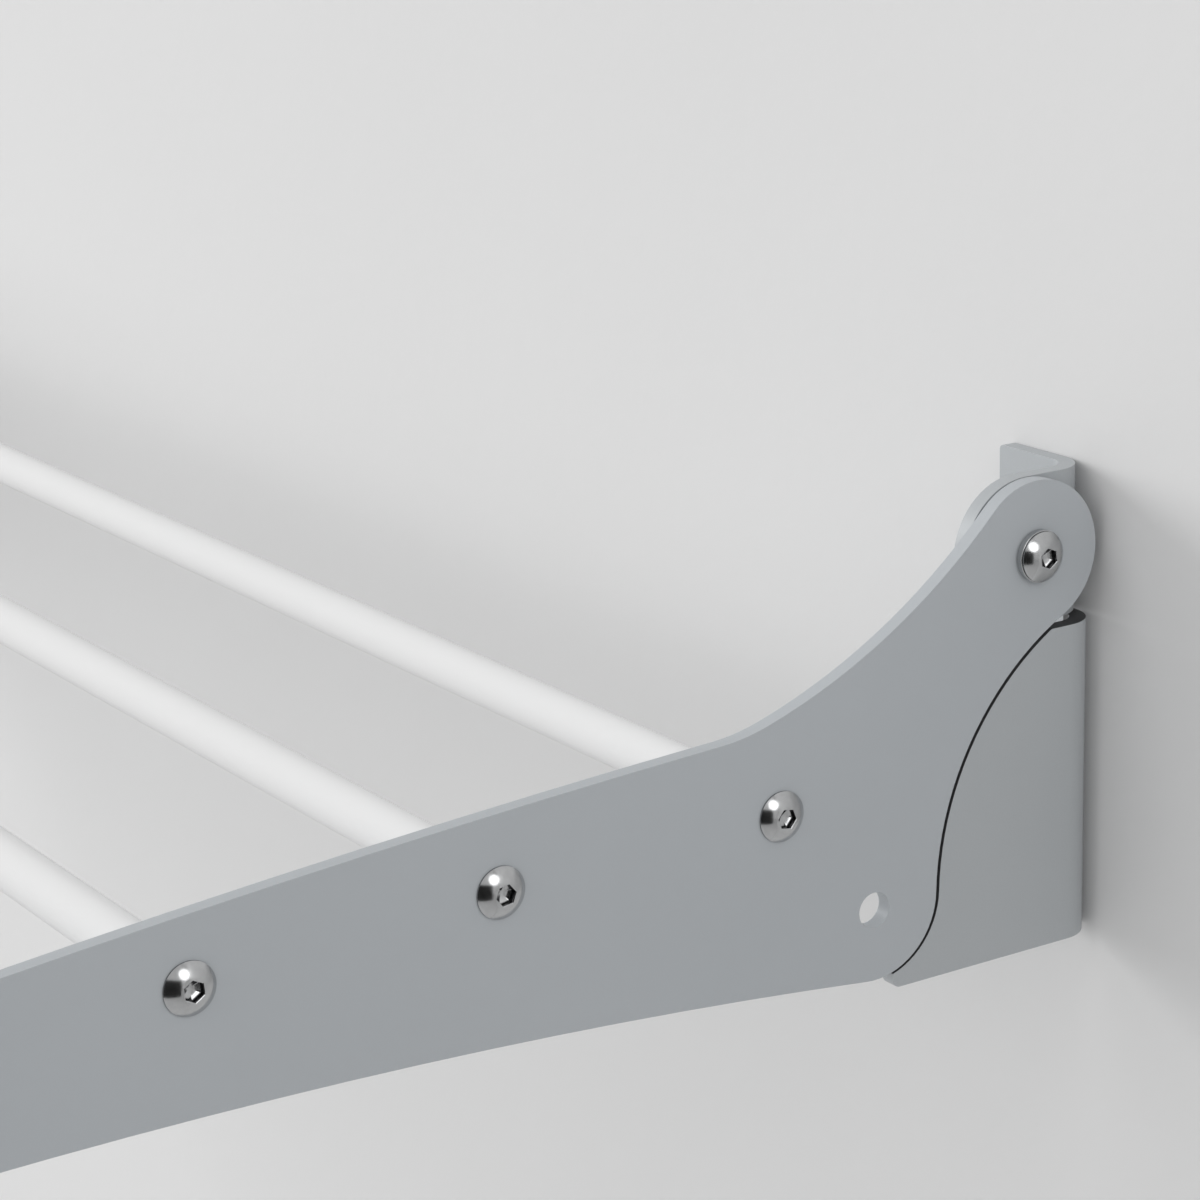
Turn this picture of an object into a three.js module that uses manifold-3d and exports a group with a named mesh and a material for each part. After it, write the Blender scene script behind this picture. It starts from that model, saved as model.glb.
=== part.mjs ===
// Wall mounted fold down drying rack.
// Two folded steel brackets hang on the wall. A pair of flat steel arms turns on them about one level axis,
// and six round rods join the arms. Lowered, each arm leans on the front edge of its bracket's flange.
// Turned up past the vertical, the arm tips lean on the wall.
// Millimetres. X runs along the rods, +Y into the wall, +Z up.
// The origin is on the wall, midway between the brackets, level with the hinge axis.
import * as THREE from "three";
import { mergeVertices } from "three/addons/utils/BufferGeometryUtils.js";
import Module from "manifold-3d";

// ---------- driving dimensions ----------
const rackWidth = 800; // over the outer faces of the two arms
const rodPitch = 65; // from the hinge axis to the first rod, and from rod to rod
const rodCount = 6;
const rodDiameter = 10.5;
const endWallGap = 2.3; // wall to the round ends of the arms
const sheet = 3.5; // coated steel plate of the arms
const bracketSheet = 3.5; // coated steel plate of the brackets

// arm outline, a chain of tangent arcs, in (y, z) from the hinge axis
const endRadius = 15.7; // round end about the hinge
const lobeRadius = 16; // round lower corner
const lobeY = -42;
const lobeZ = -67;
const plainHole = 7.6;
const plainHoleDrop = 0.7; // below the lobe's centre
const rearRadius = 61.8; // hollow rear edge between the round end and the lobe
const swoopRadius = 136; // hollow top edge falling from the round end
const swoopCentreY = -107.8;
const kinkRadius = 45; // softens the corner where the hollow meets the top edge
const topRadius = 2720; // long crowned top edge
const shoulderY = -74; // where the hollow and the top edge would meet
const bottomRadius = 1426; // long hollow bottom edge
const tipRadius = 12.2; // round tip, about the last rod
const rodCrestY = -62; // the rods lie on a shallow arc with its crest here
const rodCrestZ = -42.6;
const rodArcRadius = 1930;

// bracket
const plateWidth = 29.6; // wall plate, from the flange's outer face to its inner edge
const plateCorner = 1;
const bendOuter = 8.5; // outside radius of the folds
const stopGap = 0.75; // lowered arm to the flange edge that it leans on
const lobeGap = 0.45; // the same at the toe, as the gap narrows round the lobe
const slitWidth = 0.8; // between the hinge ear and the flange
const slitOverrun = 1.2; // how far the slit runs past the ear's fold
const shoulderRound = 1.5; // upper front corner of the flange
const toeAhead = 4.7; // lobe centre to the flange's front end
const toeWeb = 2.5; // steel left under the lobe's recess
const toeRound = 1.8;
const wallHole = 5.5;
const wallHoleSink = 10.4; // countersink across the front face
const wallHoleEnd = 20; // from the plate's ends
const wallHoleEdge = 8; // from the plate's inner edge

// fasteners: M6 button heads, washers and nuts
const screwShank = 6;
const headDiameter = 10.5;
const headHeight = 2.7;
const headRim = 0.5; // upright edge under the dome
const socketAcross = 3.7;
const socketDepth = 1.9;
const screwSides = 16;
const domeSteps = 3;
const rodScrewLength = 16;
const rodBoreOverrun = 2; // bore left beyond the screw's end
const rodChamfer = 0.5;
const nutStandOut = 1; // screw end past the nut
const washerDiameter = 11;
const washerThick = 1.6;
const spacerThick = 0.3; // nylon washer between arm and ear
const spacerDiameter = 18;
const bushOuter = 8.4;
const nutAcross = 10;
const nutThick = 6;
const nutChamfer = 0.7;

// clearances
const seatGap = 0.1; // between faces that bear on each other
const boreGap = 0.2; // all round a clamped shank
const runGap = 0.08; // all round the hinge screw in its bush
const bushGap = 0.05; // all round the bush in its arm
const rodSeatGap = 0.2; // rod end to arm

// how finely curves are drawn
const outlineError = 0.02; // furthest a facet of an outline lies inside its arc
const fewestFacets = 3; // on any arc
const roundSides = 24;
const cutMargin = 1; // how far a cutter runs past the piece that it trims

// ---------- materials ----------
const armGrey = new THREE.MeshStandardMaterial({ color: 0xa9aeb1, roughness: 0.5, metalness: 0.0 });
const bracketGrey = new THREE.MeshStandardMaterial({ color: 0xa6aaac, roughness: 0.5, metalness: 0.0 });
const rodWhite = new THREE.MeshStandardMaterial({ color: 0xdfdfdc, roughness: 0.4, metalness: 0.0 });
const stainless = new THREE.MeshStandardMaterial({ color: 0xb9bbbd, roughness: 0.2, metalness: 1.0 });
const nylon = new THREE.MeshStandardMaterial({ color: 0xe6e4dc, roughness: 0.6, metalness: 0.0 });

// ---------- solids ----------
const wasm = await Module();
wasm.setup();

function toSolid(geometry) {
  const bare = geometry.clone();
  bare.deleteAttribute("normal");
  bare.deleteAttribute("uv");
  const merged = mergeVertices(bare, 1e-4);
  return new wasm.Manifold(
    new wasm.Mesh({
      numProp: 3,
      vertProperties: merged.attributes.position.array,
      triVerts: new Uint32Array(merged.index.array),
    }),
  );
}

function toGeometry(solid) {
  const made = solid.getMesh();
  const corners = new Float32Array(made.numVert * 3);
  for (let i = 0; i < made.numVert; i++) {
    corners.set(made.vertProperties.subarray(i * made.numProp, i * made.numProp + 3), i * 3);
  }
  const geometry = new THREE.BufferGeometry();
  geometry.setAttribute("position", new THREE.BufferAttribute(corners, 3));
  geometry.setIndex(new THREE.BufferAttribute(made.triVerts, 1));
  geometry.computeVertexNormals();
  return geometry;
}

// A flat outline in (y, z), made thick along X from x0 to x1.
const alongX = new THREE.Matrix4().makeBasis(
  new THREE.Vector3(0, 1, 0),
  new THREE.Vector3(0, 0, 1),
  new THREE.Vector3(1, 0, 0),
);
function plateAcrossX(outline, x0, x1) {
  const geometry = new THREE.ExtrudeGeometry(outline, { depth: x1 - x0, bevelEnabled: false });
  return geometry.applyMatrix4(alongX).translate(x0, 0, 0);
}

// A flat outline in (x, y), made tall along Z from z0 to z1.
function plateAcrossZ(outline, z0, z1) {
  const geometry = new THREE.ExtrudeGeometry(outline, { depth: z1 - z0, bevelEnabled: false });
  return geometry.translate(0, 0, z0);
}

// A profile of [radius, distance] pairs turned about the X axis.
const turnToX = new THREE.Matrix4().makeRotationZ(-Math.PI / 2);
function turnedAboutX(profile, sides = roundSides) {
  const points = profile.map(([radius, distance]) => new THREE.Vector2(radius, distance));
  return new THREE.LatheGeometry(points, sides).applyMatrix4(turnToX);
}

// ---------- outlines ----------
const pivot = new THREE.Vector2(0, 0);
const lobe = new THREE.Vector2(lobeY, lobeZ);
const rodZ = (y) => rodCrestZ - (y - rodCrestY) ** 2 / (2 * rodArcRadius);
const rodPlaces = Array.from({ length: rodCount }, (_, i) => {
  const y = -rodPitch * (i + 1);
  return new THREE.Vector2(y, rodZ(y));
});
const tip = rodPlaces[rodCount - 1];

// The point at distance ra from a and rb from b; of the two, the one left of a -> b when turn is 1.
function meet(a, ra, b, rb, turn) {
  const span = b.clone().sub(a);
  const gap = span.length();
  const along = (gap * gap + ra * ra - rb * rb) / (2 * gap);
  const off = Math.sqrt(ra * ra - along * along) * turn;
  const unit = span.divideScalar(gap);
  return new THREE.Vector2(a.x + unit.x * along - unit.y * off, a.y + unit.y * along + unit.x * off);
}

// Points of an arc about a centre, from one point to another, anticlockwise when turn is 1. Where the second
// point is nearer to the centre than the first, the radius shrinks evenly on the way.
function arc(centre, from, to, turn) {
  const radius = centre.distanceTo(from);
  const shrink = radius - centre.distanceTo(to);
  const start = Math.atan2(from.y - centre.y, from.x - centre.x);
  let sweep = (Math.atan2(to.y - centre.y, to.x - centre.x) - start) * turn;
  sweep = ((sweep % (2 * Math.PI)) + 2 * Math.PI) % (2 * Math.PI);
  const facet = 2 * Math.acos(1 - outlineError / radius);
  const steps = Math.max(fewestFacets, Math.ceil(sweep / facet));
  return Array.from({ length: steps + 1 }, (_, i) => {
    const angle = start + (turn * sweep * i) / steps;
    const reach = radius - (shrink * i) / steps;
    return new THREE.Vector2(centre.x + reach * Math.cos(angle), centre.y + reach * Math.sin(angle));
  });
}

// The point on circle (centre, radius) that faces another point.
function towards(centre, radius, other) {
  const unit = other.clone().sub(centre).normalize();
  return centre.clone().addScaledVector(unit, radius);
}

// Outline points without the doubles left where two arcs join.
function joined(...runs) {
  const points = runs.flat().filter((p, i, all) => i === 0 || p.distanceTo(all[i - 1]) > 1e-3);
  if (points[0].distanceTo(points[points.length - 1]) < 1e-3) points.pop();
  return new THREE.Shape(points);
}

function roundHole(centre, diameter) {
  const hole = new THREE.Path();
  hole.absarc(centre.x, centre.y, diameter / 2, 0, 2 * Math.PI, true);
  const points = hole.getPoints(roundSides / 2);
  points.pop();
  return new THREE.Path(points);
}

// ---------- arm ----------
const swoop = new THREE.Vector2(
  swoopCentreY,
  Math.sqrt((swoopRadius + endRadius) ** 2 - swoopCentreY ** 2),
);
const shoulder = new THREE.Vector2(
  shoulderY,
  swoop.y - Math.sqrt(swoopRadius ** 2 - (shoulderY - swoop.x) ** 2),
);
const topCentre = meet(shoulder, topRadius, tip, topRadius - tipRadius, 1);
const kink = meet(swoop, swoopRadius - kinkRadius, topCentre, topRadius + kinkRadius, 1);
const bottomCentre = meet(tip, bottomRadius + tipRadius, lobe, bottomRadius + lobeRadius, -1);
const rear = meet(pivot, rearRadius + endRadius, lobe, rearRadius + lobeRadius, 1);

function armOutline() {
  const rearToEnd = towards(pivot, endRadius, rear);
  const endToSwoop = towards(pivot, endRadius, swoop);
  const swoopToKink = towards(swoop, swoopRadius, kink);
  const kinkToTop = towards(topCentre, topRadius, kink);
  const topToTip = towards(topCentre, topRadius, tip);
  const tipToBottom = towards(tip, tipRadius, bottomCentre);
  const bottomToLobe = towards(lobe, lobeRadius, bottomCentre);
  const lobeToRear = towards(lobe, lobeRadius, rear);
  return joined(
    arc(pivot, rearToEnd, endToSwoop, 1),
    arc(swoop, endToSwoop, swoopToKink, -1),
    arc(kink, swoopToKink, kinkToTop, -1),
    arc(topCentre, kinkToTop, topToTip, 1),
    arc(tip, topToTip, tipToBottom, 1),
    arc(bottomCentre, tipToBottom, bottomToLobe, -1),
    arc(lobe, bottomToLobe, lobeToRear, 1),
    arc(rear, lobeToRear, rearToEnd, -1),
  );
}

const shankHole = screwShank + 2 * boreGap;
const bushHole = bushOuter + 2 * bushGap;

function makeArm() {
  const outline = armOutline();
  outline.holes.push(roundHole(pivot, bushHole), roundHole(new THREE.Vector2(lobeY, lobeZ - plainHoleDrop), plainHole));
  for (const place of rodPlaces) outline.holes.push(roundHole(place, shankHole));
  return plateAcrossX(outline, -sheet, 0);
}

// ---------- bracket ----------
const pivotOut = endRadius + endWallGap;
const earFace = -(sheet + spacerThick + 2 * seatGap); // x of the ear's outer face
const earBottom = -endRadius;
const flangeTop = earBottom - slitWidth;
const bracketBottom = lobeZ - lobeRadius - lobeGap - toeWeb;
const spineEdge = earFace - bendOuter - slitOverrun; // x where the slit ends

// Section of a folded sheet in (x, y): the wall part turns through a bend into a flange at faceX.
function foldSection(faceX) {
  const centre = new THREE.Vector2(faceX - bendOuter, -bendOuter);
  const bendInner = bendOuter - bracketSheet;
  const wallEnd = spineEdge - slitOverrun;
  const reach = lobeY - pivotOut; // far enough for the outlines to trim
  const outside = arc(
    centre,
    new THREE.Vector2(centre.x, 0),
    new THREE.Vector2(faceX, centre.y),
    -1,
  );
  const inside = arc(
    centre,
    new THREE.Vector2(centre.x + bendInner, centre.y),
    new THREE.Vector2(centre.x, -bracketSheet),
    1,
  );
  return joined(
    [new THREE.Vector2(wallEnd, 0)],
    outside,
    [new THREE.Vector2(faceX, reach), new THREE.Vector2(faceX - bracketSheet, reach)],
    inside,
    [new THREE.Vector2(wallEnd, -bracketSheet)],
  );
}

// Side view of the flange in (y, z) from the hinge axis, run past the wall by a margin.
function flangeOutline() {
  const pastWall = pivotOut + cutMargin;
  const edgeRadius = rearRadius - stopGap;
  const recessRadius = lobeRadius + lobeGap;
  const roundZ = flangeTop - shoulderRound;
  const roundReach = Math.sqrt((edgeRadius - shoulderRound) ** 2 - (roundZ - rear.y) ** 2);
  const round = new THREE.Vector2(rear.x - roundReach, roundZ);
  const edgeToRecess = towards(rear, edgeRadius, lobe);
  const toeY = lobe.x + toeAhead;
  const toeTop = new THREE.Vector2(toeY, lobe.y - Math.sqrt(recessRadius ** 2 - toeAhead ** 2));
  const toe = new THREE.Vector2(toeY + toeRound, bracketBottom + toeRound);
  return joined(
    [new THREE.Vector2(pastWall, flangeTop)],
    arc(round, new THREE.Vector2(round.x, flangeTop), towards(rear, edgeRadius, round), 1),
    arc(rear, towards(rear, edgeRadius, round), edgeToRecess, 1),
    arc(lobe, edgeToRecess, toeTop, -1),
    arc(toe, new THREE.Vector2(toeY, toe.y), new THREE.Vector2(toe.x, bracketBottom), 1),
    [new THREE.Vector2(pastWall, bracketBottom)],
  );
}

// Side view of the hinge ear: level above and below, with a round front about the hinge.
function earOutline() {
  const pastWall = pivotOut + cutMargin;
  const outline = joined(
    [new THREE.Vector2(pastWall, endRadius)],
    arc(pivot, new THREE.Vector2(0, endRadius), new THREE.Vector2(0, earBottom), 1),
    [new THREE.Vector2(pastWall, earBottom)],
  );
  outline.holes.push(roundHole(pivot, shankHole));
  return outline;
}

// Front view of the flat wall plate, with its two inner corners rounded.
function wallPlate() {
  const topCorner = new THREE.Vector2(plateCorner - plateWidth, endRadius - plateCorner);
  const bottomCorner = new THREE.Vector2(plateCorner - plateWidth, bracketBottom + plateCorner);
  const outline = joined(
    [new THREE.Vector2(spineEdge, endRadius)],
    arc(
      topCorner,
      new THREE.Vector2(topCorner.x, endRadius),
      new THREE.Vector2(-plateWidth, topCorner.y),
      1,
    ),
    arc(
      bottomCorner,
      new THREE.Vector2(-plateWidth, bottomCorner.y),
      new THREE.Vector2(bottomCorner.x, bracketBottom),
      1,
    ),
    [new THREE.Vector2(spineEdge, bracketBottom)],
  );
  const lieBack = new THREE.Matrix4().makeBasis(
    new THREE.Vector3(1, 0, 0),
    new THREE.Vector3(0, 0, 1),
    new THREE.Vector3(0, -1, 0),
  );
  const flat = new THREE.ExtrudeGeometry(outline, { depth: bracketSheet, bevelEnabled: false });
  return flat.applyMatrix4(lieBack);
}

// Countersunk through hole for a wall screw, as the solid to be cut away.
function wallHoleCutter(z) {
  const front = -bracketSheet - cutMargin;
  const mouth = wallHoleSink / 2 + cutMargin;
  const bore = wallHole / 2;
  const profile = [
    [0, front],
    [mouth, front],
    [bore, front + mouth - bore],
    [bore, cutMargin],
    [0, cutMargin],
  ].map(([radius, y]) => new THREE.Vector2(radius, y));
  return new THREE.LatheGeometry(profile, roundSides).translate(wallHoleEdge - plateWidth, 0, z);
}

function makeBracket() {
  const lower = toSolid(plateAcrossZ(foldSection(0), bracketBottom, flangeTop)).intersect(
    toSolid(plateAcrossX(flangeOutline(), -plateWidth, cutMargin).translate(0, -pivotOut, 0)),
  );
  const upper = toSolid(plateAcrossZ(foldSection(earFace), flangeTop, endRadius)).intersect(
    toSolid(plateAcrossX(earOutline(), -plateWidth, cutMargin).translate(0, -pivotOut, 0)),
  );
  let bracket = lower.add(upper).add(toSolid(wallPlate()));
  for (const z of [endRadius - wallHoleEnd, bracketBottom + wallHoleEnd]) {
    bracket = bracket.subtract(toSolid(wallHoleCutter(z)));
  }
  return toGeometry(bracket);
}

// ---------- fasteners and bearings ----------
// Button head screw along X: the head's seat at x = 0, the shank running to -length.
function makeScrew(length) {
  const headRadius = headDiameter / 2;
  const shank = screwShank / 2;
  const domeHeight = headHeight - headRim;
  const domeRadius = (headRadius ** 2 + domeHeight ** 2) / (2 * domeHeight);
  const domeTurn = Math.asin(headRadius / domeRadius);
  const dome = Array.from({ length: domeSteps + 1 }, (_, i) => {
    const angle = domeTurn * (1 - i / domeSteps);
    return [domeRadius * Math.sin(angle), headHeight - domeRadius * (1 - Math.cos(angle))];
  });
  dome[domeSteps][0] = 0;
  const body = turnedAboutX(
    [[0, -length], [shank, -length], [shank, 0], [headRadius, 0], ...dome],
    screwSides,
  );
  const socketCorner = socketAcross / Math.sqrt(3);
  const socket = new THREE.CylinderGeometry(socketCorner, socketCorner, 2 * socketDepth, 6);
  socket.applyMatrix4(turnToX).translate(headHeight, 0, 0);
  return toGeometry(toSolid(body).subtract(toSolid(socket)));
}

// A ring about the X axis from x0 to x1.
function makeRing(inner, outer, x0, x1) {
  return turnedAboutX([
    [inner / 2, x0],
    [outer / 2, x0],
    [outer / 2, x1],
    [inner / 2, x1],
    [inner / 2, x0],
  ]);
}

// Hexagon nut with chamfered corners, from x = -nutThick to 0.
function makeNut() {
  const corner = nutAcross / Math.sqrt(3);
  const clear = corner / Math.cos(Math.PI / roundSides); // a turned blank of this radius clears the corners
  const hexagon = new THREE.CylinderGeometry(corner, corner, nutThick, 6).applyMatrix4(turnToX);
  const blank = turnedAboutX([
    [shankHole / 2, -nutThick],
    [corner - nutChamfer, -nutThick],
    [clear, -nutThick + nutChamfer / 2],
    [clear, -nutChamfer / 2],
    [corner - nutChamfer, 0],
    [shankHole / 2, 0],
    [shankHole / 2, -nutThick],
  ]);
  return toGeometry(toSolid(hexagon.translate(-nutThick / 2, 0, 0)).intersect(toSolid(blank)));
}

// ---------- rods ----------
const rodHalf = rackWidth / 2 - sheet - rodSeatGap;
function makeRod() {
  const radius = rodDiameter / 2;
  const bore = shankHole / 2;
  const boreEnd = rodHalf - (rodScrewLength - sheet - rodSeatGap) - rodBoreOverrun;
  return turnedAboutX([
    [0, -boreEnd],
    [bore, -boreEnd],
    [bore, -rodHalf],
    [radius - rodChamfer, -rodHalf],
    [radius, -rodHalf + rodChamfer],
    [radius, rodHalf - rodChamfer],
    [radius - rodChamfer, rodHalf],
    [bore, rodHalf],
    [bore, boreEnd],
    [0, boreEnd],
  ]);
}

// ---------- assembly ----------
const rack = new THREE.Group();

function place(parent, name, geometry, material, x, y, z) {
  const mesh = new THREE.Mesh(geometry, material);
  mesh.name = name;
  mesh.position.set(x, y, z);
  parent.add(mesh);
}

const arm = makeArm();
const bracket = makeBracket();
const washerOut = washerThick + 2 * seatGap; // seat of the hinge screw's head
const nutSeat = earFace - bracketSheet - seatGap;
const hingeScrewLength = washerOut - nutSeat + nutThick + nutStandOut;
const hingeScrew = makeScrew(hingeScrewLength);
const rodScrew = makeScrew(rodScrewLength);
const washer = makeRing(shankHole, washerDiameter, 0, washerThick);
const spacer = makeRing(shankHole, spacerDiameter, 0, spacerThick);
const bush = makeRing(screwShank + 2 * runGap, bushOuter, 0, sheet);
const nut = makeNut();

// Each side is drawn with its arm's outer face at x = 0, and the left side is the mirror of the right.
for (const [side, mirror] of [["right", 1], ["left", -1]]) {
  const end = new THREE.Group();
  end.scale.x = mirror;
  end.position.x = (mirror * rackWidth) / 2;
  rack.add(end);
  place(end, `bracket_${side}`, bracket, bracketGrey, 0, 0, 0);
  place(end, `hinge_screw_${side}`, hingeScrew, stainless, washerOut, -pivotOut, 0);
  place(end, `hinge_washer_${side}`, washer, stainless, seatGap, -pivotOut, 0);
  place(end, `hinge_spacer_${side}`, spacer, nylon, earFace + seatGap, -pivotOut, 0);
  place(end, `hinge_nut_${side}`, nut, stainless, nutSeat, -pivotOut, 0);
  place(end, `hinge_bush_${side}`, bush, nylon, -sheet, -pivotOut, 0);
  place(end, `arm_${side}`, arm, armGrey, 0, -pivotOut, 0);
  rodPlaces.forEach((at, i) => {
    place(end, `rod_screw_${side}_${i + 1}`, rodScrew, stainless, seatGap, at.x - pivotOut, at.y);
  });
}

const rod = makeRod();
rodPlaces.forEach((at, i) => {
  place(rack, `rod_${i + 1}`, rod, rodWhite, 0, at.x - pivotOut, at.y);
});

export default rack;
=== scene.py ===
# Wall mounted fold down drying rack: coated steel arms that hinge on folded brackets, with six rods across.
# Metres. X runs along the rods, +Y into the wall and +Z up. The origin is on the wall, level with the hinge.
import math
import bmesh
import bpy
from mathutils import Matrix, Vector


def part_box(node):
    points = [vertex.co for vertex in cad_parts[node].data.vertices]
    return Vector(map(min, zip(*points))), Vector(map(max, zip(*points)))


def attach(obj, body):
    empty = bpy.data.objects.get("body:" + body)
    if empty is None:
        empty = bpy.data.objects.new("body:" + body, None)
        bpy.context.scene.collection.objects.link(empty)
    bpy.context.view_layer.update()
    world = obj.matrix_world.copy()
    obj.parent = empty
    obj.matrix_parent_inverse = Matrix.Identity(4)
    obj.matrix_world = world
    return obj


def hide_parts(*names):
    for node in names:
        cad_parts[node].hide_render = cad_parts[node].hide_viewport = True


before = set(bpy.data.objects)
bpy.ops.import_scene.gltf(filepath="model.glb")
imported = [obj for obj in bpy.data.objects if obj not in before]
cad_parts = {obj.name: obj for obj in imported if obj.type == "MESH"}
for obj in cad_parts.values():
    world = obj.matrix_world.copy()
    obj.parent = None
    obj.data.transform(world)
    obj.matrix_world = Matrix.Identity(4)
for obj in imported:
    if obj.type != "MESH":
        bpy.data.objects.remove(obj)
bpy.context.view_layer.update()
MM = 0.001


# ---- arms
# Two flat arms, cut from 3.5 mm steel plate with a round hinge end, a hollow back and a long crowned top
# edge. The cut edges are eased by blasting, and the whole plate is powder coated in a satin cool grey.
arm_rim = 0.28 * MM  # eased edge under the coat
cut_edge_angle = math.radians(30)  # sharper than this is a cut edge, and not a facet of a curve
rim_steps = 3
painted_shade_black = (0.045, 0.045, 0.047, 1)  # painted shade, near black, on the masked cut faces only


class Value:
    """A node's output that takes part in Python arithmetic, adding Math nodes to its tree."""

    def __init__(self, tree, socket):
        self.tree = tree
        self.socket = socket

    def calculated(self, operation, first, second):
        math_node = self.tree.nodes.new("ShaderNodeMath")
        math_node.operation = operation
        for socket, value in zip(math_node.inputs, (first, second)):
            connect(self.tree, socket, value)
        return Value(self.tree, math_node.outputs[0])

    def __add__(self, other):
        return self.calculated("ADD", self, other)

    def __radd__(self, other):
        return self.calculated("ADD", other, self)

    def __mul__(self, other):
        return self.calculated("MULTIPLY", self, other)

    def __rmul__(self, other):
        return self.calculated("MULTIPLY", other, self)


def connect(tree, socket, value):
    """Links a Value to a socket, or sets the socket to a plain value."""
    if isinstance(value, Value):
        tree.links.new(value.socket, socket)
    else:
        socket.default_value = value


class Finish:
    """A material under construction: one surface shader, and the nodes that feed it."""

    def __init__(self, name):
        self.material = bpy.data.materials.new(name)
        self.material.use_nodes = True
        self.tree = self.material.node_tree
        self.surface = self.tree.nodes["Principled BSDF"]
        self.place = self.node("ShaderNodeTexCoord", output="Object")

    def node(self, kind, settings=None, output=0, **sockets):
        """Adds a node: its settings first, then its sockets, whose names are written with _ for a space."""
        made = self.tree.nodes.new(kind)
        for name, value in (settings or {}).items():
            setattr(made, name, value)
        for name, value in sockets.items():
            usable = [s for s in made.inputs if s.enabled and s.name == name.replace("_", " ")]
            connect(self.tree, usable[0], value)
        outputs = [s for s in made.outputs if s.enabled]
        wanted = outputs[output] if isinstance(output, int) else made.outputs[output]
        return Value(self.tree, wanted)

    def stretched(self, x, y, z):
        """Object coordinates, stretched along the axes."""
        return self.node("ShaderNodeMapping", Vector=self.place, Scale=(x, y, z))

    def noise(self, per_metre, detail=2.0, place=None):
        """Even noise about 0.5, with so many cells to the metre."""
        return self.node("ShaderNodeTexNoise", Vector=place or self.place, Scale=per_metre, Detail=detail)

    def mixed(self, factor, first, second):
        """The first colour where the factor is 0, and the second where it is 1."""
        return self.node("ShaderNodeMix", {"data_type": "RGBA"}, Factor=factor, A=first, B=second)

    def tint(self, factor, low, high):
        """A colour between two colours that are the same all over."""
        return self.mixed(factor, (*low, 1), (*high, 1))

    def bump(self, height, depth, strength=1.0, under=None):
        """A normal from a height of 0 to 1, so deep."""
        sockets = {"Height": height, "Distance": depth, "Strength": strength}
        if under is not None:
            sockets["Normal"] = under
        return self.node("ShaderNodeBump", **sockets)

    def set(self, **sockets):
        for name, value in sockets.items():
            connect(self.tree, self.surface.inputs[name.replace("_", " ")], value)
        return self.material


def powder_coat(name, dull, bright, grain, painted_shade=False):
    """Satin powder coat: faint clouding, a fine speckle and the shallow waves of orange peel. Where asked,
    faces whose mask attribute is 1 are painted near black instead, as painted shade."""
    finish = Finish(name)
    clouds = finish.noise(14, 3.0)
    speckle = finish.noise(2600, 1.0)
    peel = finish.noise(420, 1.0)
    shade = clouds * 0.6 + speckle * grain + (0.2 - grain / 2)
    waves = finish.bump(peel, 0.02 * MM, 0.5)
    colour = finish.tint(shade, dull, bright)
    # painted shade: the masked cut faces are painted near black
    if painted_shade:
        edge = finish.node("ShaderNodeAttribute", {"attribute_name": "painted_shade"}, output="Fac")
        colour = finish.mixed(edge, colour, painted_shade_black)
    return finish.set(
        Base_Color=colour,
        Roughness=0.36 + 0.1 * clouds + 0.08 * speckle,
        Normal=finish.bump(speckle, 0.006 * MM, 0.5, under=waves),
    )


arm_paint = powder_coat("arm powder coat", (0.422, 0.446, 0.467), (0.475, 0.502, 0.526), 0.25)


def merged_copy(node):
    """The CAD node's shape as one closed mesh whose flat faces are whole."""
    shape = bmesh.new()
    shape.from_mesh(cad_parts[node].data)
    bmesh.ops.remove_doubles(shape, verts=shape.verts, dist=0.001 * MM)
    bmesh.ops.dissolve_limit(
        shape, angle_limit=math.radians(0.1), verts=shape.verts, edges=shape.edges
    )
    return shape


def finished(name, mesh, body, finish, slot, *nodes):
    """A piece in its place: it rides on a body, has its finish and stands for its CAD nodes."""
    piece = bpy.data.objects.new(name, mesh)
    bpy.context.scene.collection.objects.link(piece)
    mesh.materials.clear()
    mesh.materials.append(finish)
    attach(piece, body)
    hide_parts(*nodes)


def plain_mesh(maker, name):
    """The evaluated mesh of a helper object, which is then removed."""
    seen = maker.evaluated_get(bpy.context.evaluated_depsgraph_get())
    mesh = bpy.data.meshes.new_from_object(seen)
    mesh.name = name
    bpy.data.objects.remove(maker)
    return mesh


def eased_plate(node, name, rim):
    """The CAD plate with eased cut edges, smooth curves and flat faces."""
    shape = merged_copy(node)
    cut_edges = [e for e in shape.edges if e.is_manifold and e.calc_face_angle() > cut_edge_angle]
    bmesh.ops.bevel(
        shape, geom=cut_edges, offset=rim, offset_type="OFFSET", segments=rim_steps, profile=0.5,
        affect="EDGES", clamp_overlap=True, miter_outer="ARC", miter_inner="SHARP",
    )
    mesh = bpy.data.meshes.new(name)
    for face in shape.faces:
        face.smooth = True
    shape.to_mesh(mesh)
    shape.free()
    maker = bpy.data.objects.new(name + "_maker", mesh)
    bpy.context.scene.collection.objects.link(maker)
    flats = maker.modifiers.new("flat faces stay flat", "WEIGHTED_NORMAL")
    flats.mode = "FACE_AREA"
    flats.weight = 100
    flats.keep_sharp = True
    return plain_mesh(maker, name)


for side in ("right", "left"):
    node = f"arm_{side}"
    finished(f"coated_arm_{side}", eased_plate(node, node, arm_rim), "rack", arm_paint, "arm_paint", node)


# ---- brackets
# Each bracket is folded from one 3.5 mm steel blank: a plate on the wall, a round ear for the hinge and,
# below a slit, a flange whose curved edge is the stop for the lowered arm. It has the arms' coat, a little
# darker and warmer. The edge that the arm leans on is painted near black, up to the slit, as painted shade.
bracket_rim = 0.3 * MM
edge_reach = 14 * MM  # how far the painted shade on the edge runs from the flange's face
toe_height = 3.2 * MM  # the lowest stretch of the edge gets no painted shade

# the bracket coat paints the masked edge faces near black, as shade
bracket_paint = powder_coat(
    "bracket powder coat", (0.394, 0.415, 0.43), (0.461, 0.483, 0.498), 0.45, painted_shade=True
)


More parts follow.
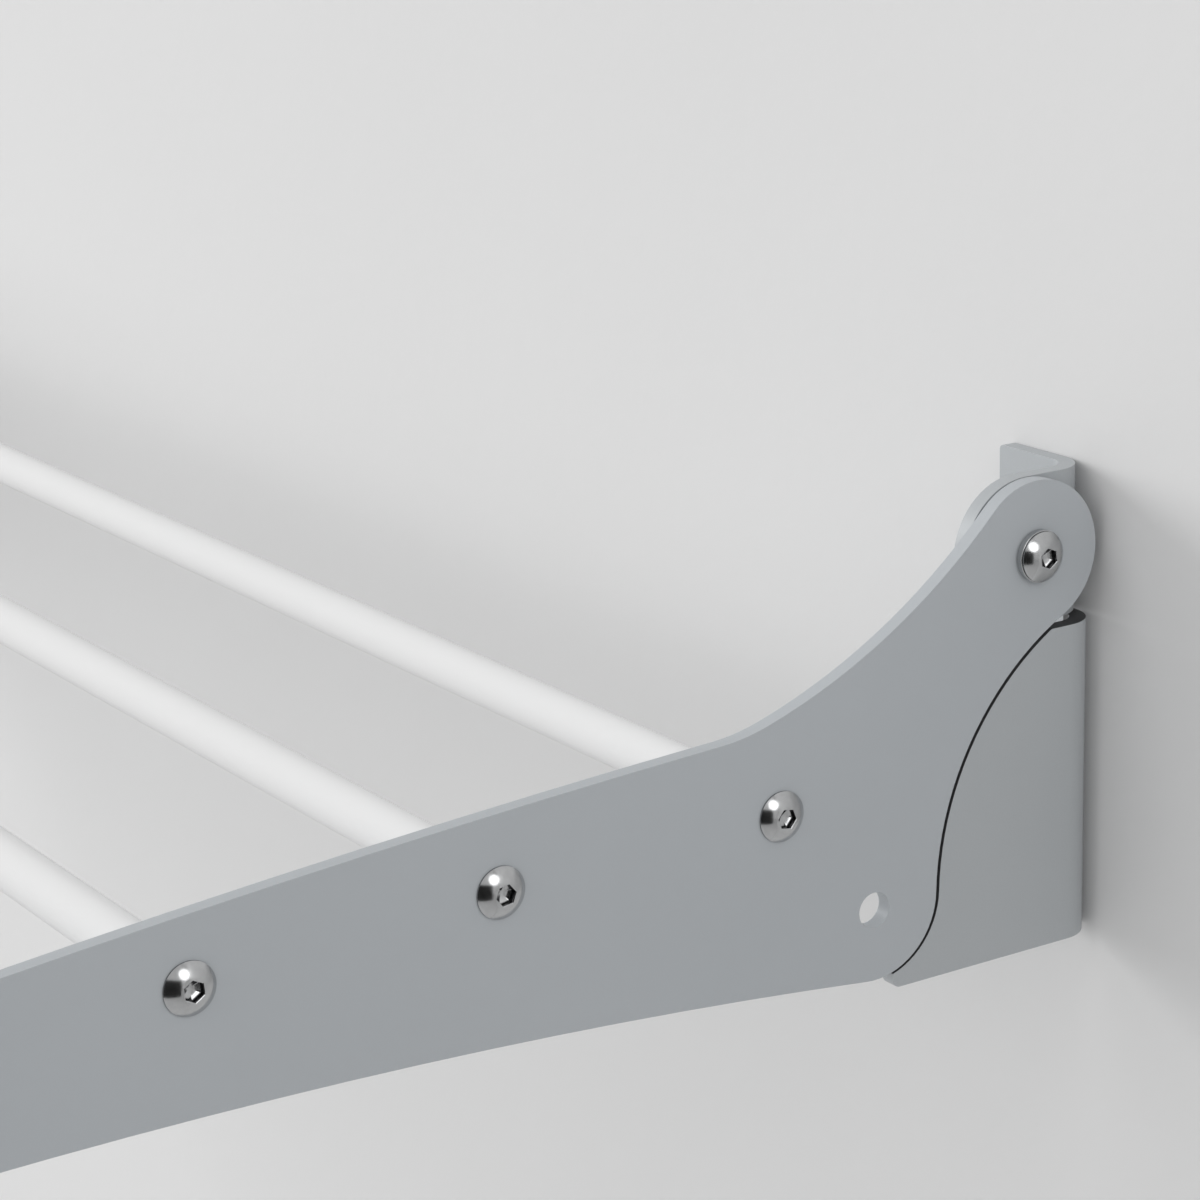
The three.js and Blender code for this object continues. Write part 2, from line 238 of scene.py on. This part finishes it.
def mark_painted_shade(mesh, node):
    """Marks the cut faces below the ear that look up or forward: the flange's edge and the slit's lower
    side.
    The finish paints them near black, as shade."""
    low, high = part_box(node)
    ear_bottom = -high.z
    face_x = max(abs(low.x), abs(high.x))
    painted_shade = mesh.attributes.new("painted_shade", "FLOAT", "FACE")
    for entry, face in zip(painted_shade.data, mesh.polygons):
        cut = abs(face.normal.x) < 0.5 and face.normal.z - 0.5 * face.normal.y > 0.1
        height = low.z + toe_height < face.center.z < ear_bottom
        entry.value = float(cut and height and abs(face.center.x) > face_x - edge_reach)


for side in ("right", "left"):
    node = f"bracket_{side}"
    mesh = eased_plate(node, node, bracket_rim)
    # marks the edge faces that get the painted shade
    mark_painted_shade(mesh, node)
    finished(f"folded_bracket_{side}", mesh, "brackets", bracket_paint, "bracket_paint", node)


# ---- rods
# Six round steel rods with a smooth off-white coat. Both ends are chamfered and bored for the screws, and
# bear on the inner faces of the arms.
rod_sides = 96
rod_chamfer = 0.5 * MM
rod_bore = 6.4 * MM
rod_bore_depth = 14.5 * MM
rod_count = 6


def turned(name, rings, sides, closed=False):
    """A mesh about the X axis. A ring is its place along X and its radius, which may differ round the turn.
    A closed run of rings joins its last ring to its first, and an open one ends in points on the axis."""
    shape = bmesh.new()
    lathe = shape.verts.layers.float.new("lathe")  # distance from the axis, for marks left by turning
    loops = []
    for x, radius in rings:
        count = 1 if radius == 0 else sides
        loop = []
        for i in range(count):
            turn = 2 * math.pi * i / sides
            r = radius(turn) if callable(radius) else radius
            vertex = shape.verts.new((x, r * math.cos(turn), r * math.sin(turn)))
            vertex[lathe] = r / MM
            loop.append(vertex)
        loops.append(loop)
    pairs = list(zip(loops, loops[1:] + loops[:1])) if closed else list(zip(loops, loops[1:]))
    for near, far in pairs:
        for i in range(sides):
            j = (i + 1) % sides
            corners = [near[i % len(near)], near[j % len(near)], far[j % len(far)], far[i % len(far)]]
            shape.faces.new(dict.fromkeys(corners))
    bmesh.ops.recalc_face_normals(shape, faces=shape.faces)
    for face in shape.faces:
        face.smooth = True
    mesh = bpy.data.meshes.new(name)
    shape.to_mesh(mesh)
    shape.free()
    mesh.set_sharp_from_angle(angle=cut_edge_angle)
    return mesh


def rounded_corner(x, radius, x_step, radius_step, steps=4):
    """Rings round a corner: from x to x + x_step and from radius to radius + radius_step."""
    quarter = [math.pi / 2 * i / steps for i in range(steps + 1)]
    return [(x + x_step * math.sin(a), radius + radius_step * (1 - math.cos(a))) for a in quarter]


def copies_tree():
    """Puts a copy of a piece on each point, its X axis along the point's out direction, turned at random."""
    tree = bpy.data.node_groups.new("copies in their places", "GeometryNodeTree")
    sockets = tree.interface
    sockets.new_socket("Places", in_out="INPUT", socket_type="NodeSocketGeometry")
    sockets.new_socket("Piece", in_out="INPUT", socket_type="NodeSocketObject")
    sockets.new_socket("Finish", in_out="INPUT", socket_type="NodeSocketMaterial")
    sockets.new_socket("Largest turn", in_out="INPUT", socket_type="NodeSocketFloat")
    sockets.new_socket("Seed", in_out="INPUT", socket_type="NodeSocketInt")
    sockets.new_socket("Pieces", in_out="OUTPUT", socket_type="NodeSocketGeometry")
    kinds = {
        "given": "NodeGroupInput",
        "piece": "GeometryNodeObjectInfo",
        "out": "GeometryNodeInputNamedAttribute",
        "aim": "FunctionNodeAlignRotationToVector",
        "turn": "FunctionNodeRandomValue",
        "spin": "FunctionNodeAxisAngleToRotation",
        "both": "FunctionNodeRotateRotation",
        "copies": "GeometryNodeInstanceOnPoints",
        "solid": "GeometryNodeRealizeInstances",
        "paint": "GeometryNodeSetMaterial",
        "made": "NodeGroupOutput",
    }
    nodes = {name: tree.nodes.new(kind) for name, kind in kinds.items()}
    nodes["out"].data_type = "FLOAT_VECTOR"
    nodes["out"].inputs["Name"].default_value = "out"
    nodes["aim"].axis = "X"
    nodes["turn"].data_type = "FLOAT"
    nodes["spin"].inputs["Axis"].default_value = (1, 0, 0)
    nodes["both"].rotation_space = "LOCAL"
    turn_limits = [s for s in nodes["turn"].inputs if s.enabled]
    turn_value = next(s for s in nodes["turn"].outputs if s.enabled)
    wires = [
        (nodes["given"].outputs["Places"], nodes["copies"].inputs["Points"]),
        (nodes["given"].outputs["Piece"], nodes["piece"].inputs["Object"]),
        (nodes["piece"].outputs["Geometry"], nodes["copies"].inputs["Instance"]),
        (nodes["out"].outputs["Attribute"], nodes["aim"].inputs["Vector"]),
        (nodes["given"].outputs["Largest turn"], turn_limits[1]),
        (nodes["given"].outputs["Seed"], nodes["turn"].inputs["Seed"]),
        (turn_value, nodes["spin"].inputs["Angle"]),
        (nodes["aim"].outputs["Rotation"], nodes["both"].inputs["Rotation"]),
        (nodes["spin"].outputs["Rotation"], nodes["both"].inputs["Rotate By"]),
        (nodes["both"].outputs["Rotation"], nodes["copies"].inputs["Rotation"]),
        (nodes["copies"].outputs["Instances"], nodes["solid"].inputs["Geometry"]),
        (nodes["solid"].outputs["Geometry"], nodes["paint"].inputs["Geometry"]),
        (nodes["given"].outputs["Finish"], nodes["paint"].inputs["Material"]),
        (nodes["paint"].outputs["Geometry"], nodes["made"].inputs["Pieces"]),
    ]
    for start, end in wires:
        tree.links.new(start, end)
    return tree


place_copies = copies_tree()


def copies(name, unit, places, finish, largest_turn=0.0, seed=1):
    """One mesh with a copy of the unit mesh at each place, a point with its out direction."""
    model = bpy.data.objects.new(name + "_model", unit)
    points = bpy.data.meshes.new(name + "_points")
    points.from_pydata([point for point, out in places], [], [])
    outs = points.attributes.new("out", "FLOAT_VECTOR", "POINT")
    for entry, (point, out) in zip(outs.data, places):
        entry.vector = out
    maker = bpy.data.objects.new(name + "_maker", points)
    bpy.context.scene.collection.objects.link(maker)
    modifier = maker.modifiers.new("copies", "NODES")
    modifier.node_group = place_copies
    values = {"Piece": model, "Finish": finish, "Largest turn": largest_turn, "Seed": seed}
    for item in place_copies.interface.items_tree:
        if item.in_out == "INPUT" and item.name in values:
            modifier[item.identifier] = values[item.name]
    mesh = plain_mesh(maker, name)
    bpy.data.objects.remove(model)
    return mesh


def rod_coat():
    """Smooth off-white coat over a drawn rod: long faint streaks and a semi-gloss."""
    finish = Finish("rod coat")
    streaks = finish.noise(60, 2.0, place=finish.stretched(0.06, 12, 12))
    mottle = finish.noise(35, 2.0)
    fine = finish.noise(3000, 1.0)
    return finish.set(
        Base_Color=finish.tint(0.5 * streaks + 0.5 * mottle, (0.477, 0.474, 0.457), (0.533, 0.53, 0.512)),
        Roughness=0.2 + 0.1 * streaks + 0.05 * fine,
        Coat_Weight=0.5,
        Normal=finish.bump(fine, 0.004 * MM, 0.5, under=finish.bump(streaks, 0.01 * MM, 0.4)),
    )


rod_nodes = [f"rod_{i + 1}" for i in range(rod_count)]
rod_low, rod_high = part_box(rod_nodes[0])
rod_half = rod_high.x
rod_radius = (rod_high.z - rod_low.z) / 2
bore_end = rod_half - rod_bore_depth
rod_end = [
    (bore_end, 0),
    (bore_end, rod_bore / 2),
    (rod_half, rod_bore / 2),
    *rounded_corner(rod_half, rod_radius - rod_chamfer, -rod_chamfer, rod_chamfer),
]
rod_unit = turned("rod", [(-x, r) for x, r in rod_end] + rod_end[::-1], rod_sides)
along = Vector((1, 0, 0))
rod_places = [(sum(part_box(node), Vector()) / 2, along) for node in rod_nodes]
rod_mesh = copies("rods", rod_unit, rod_places, rod_coat())
finished("coated_rods", rod_mesh, "rack", rod_mesh.materials[0], "rod_paint", *rod_nodes)


# ---- rod screws and hinge screws
# Stainless button head screws with hexagon sockets. One holds each rod end through the arm, and one is the
# hinge pin on each side. The domes are turned and polished, and the sockets are cold formed. The socket
# walls and the rim under each head are painted dark, as shade.
head_height = 2.7 * MM
head_radius = 5.25 * MM
head_rim = 0.5 * MM
head_ease = 0.18 * MM
socket_across = 3.7 * MM
socket_depth = 1.9 * MM
socket_lip = 0.16 * MM
shank_radius = 3 * MM
screw_sides = 96
dome_rings = 14
thread_pitch = 1 * MM
thread_depth = 0.45 * MM
lip_rise = 0.4 * socket_lip  # burr round the socket's mouth, proud of the dome
punch_point = 0.2 * socket_across  # depth of the shallow point at the socket's bottom


def hexagon(across, grow=0.0):
    """The radius of a hexagon at each turn, grown by a margin."""
    return lambda turn: across / 2 / math.cos((turn + math.pi / 6) % (math.pi / 3) - math.pi / 6) + grow


def button_screw(name, length, threaded):
    """A button head screw, seated at x = 0, whose last stretch shows its thread."""
    dome_height = head_height - head_rim
    dome_radius = (head_radius**2 + dome_height**2) / (2 * dome_height)
    crown = head_height - dome_radius  # centre of the dome's sphere, along X

    def dome(radius):
        return crown + math.sqrt(dome_radius**2 - radius**2)

    def thread(x):
        return lambda turn: shank_radius - thread_depth * abs(
            2 * ((x / thread_pitch - turn / (2 * math.pi)) % 1) - 1
        )

    mouth = socket_across / math.sqrt(3) + 2 * socket_lip  # just outside the socket's corners
    steps = [i / dome_rings for i in range(1, dome_rings + 1)]
    dome_run = [head_radius + (mouth - head_radius) * s for s in steps]
    ridge_step = thread_pitch / 10
    ridges = [-length + ridge_step * i for i in range(round(threaded / ridge_step))]
    rings = [(-length, 0), *[(x, thread(x)) for x in ridges]]
    rings += [(-length + threaded, shank_radius), (0, shank_radius)]
    rings += rounded_corner(0, head_radius - head_ease, head_ease, head_ease)
    rings += [(head_rim, head_radius)]
    rings += [(dome(radius), radius) for radius in dome_run]
    lip = dome(mouth) + lip_rise
    floor = head_height - socket_depth
    rings += [
        (lip, hexagon(socket_across, socket_lip)),
        (lip - lip_rise, hexagon(socket_across, socket_lip * 0.3)),
        (lip - socket_lip, hexagon(socket_across)),
        (floor + socket_lip, hexagon(socket_across)),
        (floor, hexagon(socket_across, -socket_lip)),
        (floor - punch_point, 0),
    ]
    mesh = turned(name, rings, screw_sides)
    # Painted shade: marks the socket's walls and the head's rim, which the finish paints dark.
    painted_screw_shade = mesh.attributes.new("painted_screw_shade", "FLOAT", "POINT")
    for entry, vertex in zip(painted_screw_shade.data, mesh.vertices):
        x, radius = vertex.co.x, math.hypot(vertex.co.y, vertex.co.z)
        on_wall = radius < mouth - socket_lip and floor + socket_lip / 2 < x < lip - socket_lip / 2
        on_rim = radius > head_radius - 2 * head_ease and x < head_rim * 0.8
        entry.value = float(on_wall or on_rim)
    return mesh


def polished_steel():
    """Bright stainless steel, fine turned rings, faint handling marks; painted shade darkens socket walls
    and rim.
    """
    finish = Finish("polished stainless steel")
    radius = finish.node("ShaderNodeAttribute", {"attribute_name": "lathe"}, output="Fac")
    rings = finish.node("ShaderNodeTexNoise", {"noise_dimensions": "1D"}, W=radius, Scale=9.0, Detail=3.0)
    marks = finish.noise(900, 3.0)
    painted_screw_shade = finish.node("ShaderNodeAttribute", {"attribute_name": "painted_screw_shade"}, output="Fac")
    polished = finish.tint(marks, (0.46, 0.465, 0.47), (0.58, 0.585, 0.59))
    return finish.set(
        # painted shade: socket walls and head rim are near black
        Base_Color=finish.mixed(painted_screw_shade, polished, (0.1, 0.1, 0.104, 1)),
        Metallic=1.0,
        Roughness=0.1 + 0.08 * marks + 0.06 * rings + 0.08 * painted_screw_shade,
        Normal=finish.bump(rings, 0.004 * MM, 0.6),
    )


stainless = polished_steel()


def places_of(kind, seat):
    """The nodes of a kind, and the place of each: under its "head", or at the "back" of a ring or nut."""
    found = []
    for node in sorted(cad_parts):
        if node.startswith(kind):
            low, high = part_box(node)
            middle = (low + high) / 2
            out = along if middle.x > 0 else -along
            reach = (high.x - low.x) / 2
            shift = reach - head_height if seat == "head" else -reach
            found.append((node, (middle + out * shift, out)))
    return [node for node, place in found], [place for node, place in found]


def node_length(node):
    low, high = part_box(node)
    return high.x - low.x


sixth_turn = math.pi / 3
rod_screw_nodes, rod_screw_places = places_of("rod_screw_", "head")
screw = button_screw("rod_screw", node_length(rod_screw_nodes[0]) - head_height, 0.0)
mesh = copies("rod_screws", screw, rod_screw_places, stainless, sixth_turn, seed=7)
finished("rod_screws", mesh, "rack", stainless, "stainless", *rod_screw_nodes)

hinge_screw_nodes, hinge_screw_places = places_of("hinge_screw_", "head")
hinge_length = node_length(hinge_screw_nodes[0]) - head_height
screw = button_screw("hinge_screw", hinge_length, 2 * MM)
mesh = copies("hinge_screws", screw, hinge_screw_places, stainless, sixth_turn, seed=4)
finished("hinge_screws", mesh, "brackets", stainless, "stainless", *hinge_screw_nodes)


# ---- washers, spacers, bushes and nuts of the hinges
# Under each hinge screw's head lies a stainless washer. A nylon bush lines the arm's hole, a thin nylon
# spacer keeps the coats apart, and a stainless nut behind the ear holds it all.
washer_bore = 6.4 * MM
washer_ease = 0.12 * MM
bush_bore = 6.16 * MM
nut_bore = 6.4 * MM
nut_across = 10 * MM
nut_chamfer = 0.7 * MM
nut_cone = 1.7  # how much the chamfer's radius grows for each step inwards


def flat_ring(name, node, bore, ease):
    """A ring of the CAD node's outer size, from x = 0 outwards, with eased corners."""
    low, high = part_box(node)
    thick, outer, inner = high.x - low.x, (high.z - low.z) / 2, bore / 2
    rings = [
        *rounded_corner(0, outer - ease, ease, ease),
        *[(thick - x, r) for x, r in rounded_corner(0, outer - ease, ease, ease)[::-1]],
        *[(thick - x, r) for x, r in rounded_corner(0, inner + ease, ease, -ease)],
        *rounded_corner(0, inner + ease, ease, -ease)[::-1],
    ]
    return turned(name, rings, screw_sides, closed=True)


def hexagon_nut(name, node):
    """A nut of the CAD node's thickness whose corners are cut back by a cone at both ends."""
    thick = node_length(node)
    corner = nut_across / math.sqrt(3)
    flat = hexagon(nut_across)
    steps = [nut_chamfer * i / 6 for i in range(7)]

    def coned(x):
        return lambda turn: min(flat(turn), corner - nut_chamfer + nut_cone * x)

    outside = [(x, coned(x)) for x in steps]
    mouth = rounded_corner(0, nut_bore / 2 + washer_ease, washer_ease, -washer_ease)
    rings = outside + [(thick - x, r) for x, r in outside[::-1]]
    rings += [(thick - x, r) for x, r in mouth] + mouth[::-1]
    return turned(name, rings, screw_sides, closed=True)


def moulded_nylon():
    """Natural nylon: off-white, matt and slightly uneven."""
    finish = Finish("natural nylon")
    clouds = finish.noise(300, 2.0)
    grain = finish.noise(4000, 1.0)
    return finish.set(
        Base_Color=finish.tint(clouds, (0.72, 0.70, 0.64), (0.82, 0.80, 0.74)),
        Roughness=0.5 + 0.12 * grain,
        Normal=finish.bump(grain, 0.004 * MM, 0.5),
    )


nylon = moulded_nylon()

for name, kind, body, finish, slot, bore in (
    ("hinge_washers", "hinge_washer", "brackets", stainless, "stainless", washer_bore),
    ("hinge_spacers", "hinge_spacer", "brackets", nylon, "nylon", washer_bore),
    ("hinge_bushes", "hinge_bush", "rack", nylon, "nylon", bush_bore),
    ("hinge_nuts", "hinge_nut", "brackets", stainless, "stainless", nut_bore),
):
    nodes, places = places_of(kind, "back")
    if kind == "hinge_nut":
        unit = hexagon_nut(kind, nodes[0])
    else:
        unit = flat_ring(kind, nodes[0], bore, min(washer_ease, node_length(nodes[0]) / 4))
    finished(name, copies(kind, unit, places, finish), body, finish, slot, *nodes)


# ---- wall, floor and light
# The rack hangs on a pale plastered wall over a pale floor. Both show from the front only, so that the rack
# can be seen from behind too. A broad soft light stands far to the left, a second hangs overhead and a small
# one fills in from the right. Reflections, and nothing else, also show a black cloth on the right.
wall_gap = 0.3 * MM
half_stage = 7.0
floor_level = -1.25
wall_shade = 0.70
floor_shade = 0.74
cloth_left, cloth_right = (0.85, -1.55), (1.9, -0.55)
cloth_foot, cloth_top = -0.75, 0.45


def plaster(name, shade):
    """Matt paint on fine plaster. It shows from its front only, and lets light onto what lies against it."""
    finish = Finish(name)
    trowel = finish.noise(5, 3.0)
    grain = finish.noise(160, 4.0)
    painted = finish.set(
        Base_Color=finish.tint(trowel, (shade - 0.015,) * 3, (shade + 0.015,) * 3),
        Roughness=0.85,
        Normal=finish.bump(grain, 0.25 * MM, 0.35),
    )
    behind = finish.node("ShaderNodeNewGeometry", output="Backfacing")
    length = finish.node("ShaderNodeLightPath", output="Ray Length")
    close = length.calculated("LESS_THAN", length, 2 * wall_gap)
    seen_through = behind.calculated("MAXIMUM", behind, close)
    clear = finish.node("ShaderNodeBsdfTransparent")
    coat = Value(finish.tree, finish.surface.outputs["BSDF"])
    mixed = finish.tree.nodes.new("ShaderNodeMixShader")
    for socket, value in zip(mixed.inputs, (seen_through, coat, clear)):
        connect(finish.tree, socket, value)
    surface_end = finish.tree.nodes["Material Output"].inputs["Surface"]
    finish.tree.links.new(mixed.outputs[0], surface_end)
    return painted


def stage_plane(name, corners, finish):
    mesh = bpy.data.meshes.new(name)
    mesh.from_pydata(corners, [], [range(4)])
    mesh.materials.append(finish)
    plane = bpy.data.objects.new(name, mesh)
    bpy.context.scene.collection.objects.link(plane)
    return plane


def black_flag(name, corners):
    """Black cloth that shows in reflections only."""
    finish = Finish("black cloth").set(Base_Color=(0.01, 0.01, 0.01, 1), Roughness=1.0)
    flag = stage_plane(name, corners, finish)
    flag.visible_camera = flag.visible_diffuse = flag.visible_shadow = flag.visible_transmission = False


square = [(x * half_stage, y * half_stage) for x, y in ((-1, -1), (1, -1), (1, 1), (-1, 1))]
stage_plane("wall", [(x, wall_gap, z) for x, z in square], plaster("wall plaster", wall_shade))
stage_plane("floor", [(x, y, floor_level) for x, y in square], plaster("floor paint", floor_shade))
cloth_bottom = [(*cloth_left, cloth_foot), (*cloth_right, cloth_foot)]
black_flag("flag", cloth_bottom + [(*cloth_right, cloth_top), (*cloth_left, cloth_top)])


def soft_light(name, place, aim, size, power, spread=180):
    lamp = bpy.data.lights.new(name, "AREA")
    lamp.shape = "DISK"
    lamp.size = size
    lamp.energy = power
    lamp.spread = math.radians(spread)
    holder = bpy.data.objects.new(name, lamp)
    holder.location = place
    holder.rotation_euler = (Vector(aim) - Vector(place)).to_track_quat("-Z", "Y").to_euler()
    bpy.context.scene.collection.objects.link(holder)


hinge = Vector((rod_half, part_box("hinge_screw_right")[0].y, 0))
below_hinge = hinge + Vector((0, 0, -0.8))
soft_light("key", place=(-3.28, -2.07, 0.75), aim=below_hinge, size=2.4, power=36, spread=110)
soft_light("overhead", place=(0.3, -2.0, 0.95), aim=(0.2, -0.2, 0), size=1.4, power=7)
soft_light("fill", place=(1.0, -0.2, 0.35), aim=hinge, size=0.4, power=0.8)

world = bpy.data.worlds.new("studio")
world.use_nodes = True
surroundings = world.node_tree.nodes["Background"].inputs
surroundings["Color"].default_value = (1, 1, 1, 1)
surroundings["Strength"].default_value = 0.6
bpy.context.scene.world = world


# ---- camera
# It stands to the right of the rack, close to the wall and a little above, and looks along the rods.
lens = 100.8
camera_place = Vector((0.9099, -0.4497, 0.17955))
heading = math.radians(57.44)
dip = math.radians(15.74)
roll = math.radians(-1.54)

camera = bpy.data.objects.new("camera", bpy.data.cameras.new("camera"))
camera.data.lens = lens
camera.data.clip_start = 0.01
turns = Matrix.Rotation(heading, 4, "Z") @ Matrix.Rotation(math.pi / 2 - dip, 4, "X")
camera.matrix_world = Matrix.Translation(camera_place) @ turns @ Matrix.Rotation(roll, 4, "Z")
bpy.context.scene.collection.objects.link(camera)
bpy.context.scene.camera = camera
bpy.context.scene.view_settings.view_transform = "Standard"
